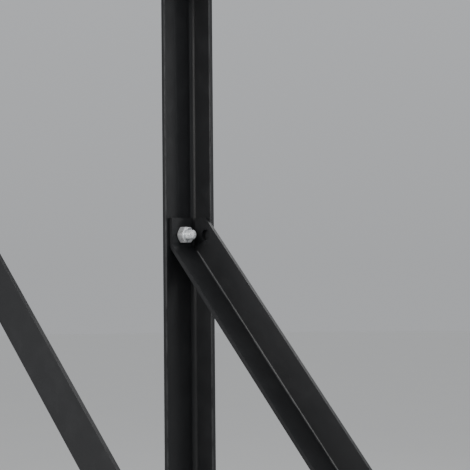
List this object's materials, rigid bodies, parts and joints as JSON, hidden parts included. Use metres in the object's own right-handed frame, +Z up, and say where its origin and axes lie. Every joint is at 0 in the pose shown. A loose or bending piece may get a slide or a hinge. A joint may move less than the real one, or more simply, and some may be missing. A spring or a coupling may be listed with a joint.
{
  "type": "lighting truss section",
  "caption": "Rectangular lattice truss section of black steel angle, with bolted diagonal braces and end frames drilled to join to the next section.",
  "frame": {"origin": "middle of the foot, in the plane that the section stands on", "axes": "+Z up along the posts, X across the wide faces, Y across the narrow faces"},
  "size_m": [0.5934, 0.3234, 1.05],
  "materials": {
    "black_paint": "satin black paint on hot-rolled steel, with slight mottle and worn edges",
    "zinc_plate": "bright zinc plating"
  },
  "bodies": {
    "root": {"bolt_back_left_foot_face": "zinc_plate", "bolt_back_left_foot_side": "zinc_plate", "bolt_back_left_head_face": "zinc_plate", "bolt_back_left_head_side": "zinc_plate", "bolt_back_left_main_brace_top": "zinc_plate", "bolt_back_left_side_brace_foot": "zinc_plate", "bolt_back_right_foot_face": "zinc_plate", "bolt_back_right_foot_side": "zinc_plate", "bolt_back_right_head_face": "zinc_plate", "bolt_back_right_head_side": "zinc_plate", "bolt_back_right_main_brace_foot": "zinc_plate", "bolt_back_right_side_brace_top": "zinc_plate", "bolt_front_left_foot_face": "zinc_plate", "bolt_front_left_foot_side": "zinc_plate", "bolt_front_left_head_face": "zinc_plate", "bolt_front_left_head_side": "zinc_plate", "bolt_front_left_main_brace_top": "zinc_plate", "bolt_front_left_side_brace_top": "zinc_plate", "bolt_front_right_foot_face": "zinc_plate", "bolt_front_right_foot_side": "zinc_plate", "bolt_front_right_head_face": "zinc_plate", "bolt_front_right_head_side": "zinc_plate", "bolt_front_right_main_brace_foot": "zinc_plate", "bolt_front_right_side_brace_foot": "zinc_plate", "end_frame_foot": "black_paint", "end_frame_head": "black_paint", "main_brace_back": "black_paint", "main_brace_front": "black_paint", "nut_back_left_foot_face": "zinc_plate", "nut_back_left_foot_side": "zinc_plate", "nut_back_left_head_face": "zinc_plate", "nut_back_left_head_side": "zinc_plate", "nut_back_left_main_brace_top": "zinc_plate", "nut_back_left_side_brace_foot": "zinc_plate", "nut_back_right_foot_face": "zinc_plate", "nut_back_right_foot_side": "zinc_plate", "nut_back_right_head_face": "zinc_plate", "nut_back_right_head_side": "zinc_plate", "nut_back_right_main_brace_foot": "zinc_plate", "nut_back_right_side_brace_top": "zinc_plate", "nut_front_left_foot_face": "zinc_plate", "nut_front_left_foot_side": "zinc_plate", "nut_front_left_head_face": "zinc_plate", "nut_front_left_head_side": "zinc_plate", "nut_front_left_main_brace_top": "zinc_plate", "nut_front_left_side_brace_top": "zinc_plate", "nut_front_right_foot_face": "zinc_plate", "nut_front_right_foot_side": "zinc_plate", "nut_front_right_head_face": "zinc_plate", "nut_front_right_head_side": "zinc_plate", "nut_front_right_main_brace_foot": "zinc_plate", "nut_front_right_side_brace_foot": "zinc_plate", "post_back_left": "black_paint", "post_back_right": "black_paint", "post_front_left": "black_paint", "post_front_right": "black_paint", "side_brace_left": "black_paint", "side_brace_right": "black_paint"}
  },
  "joints": []
}
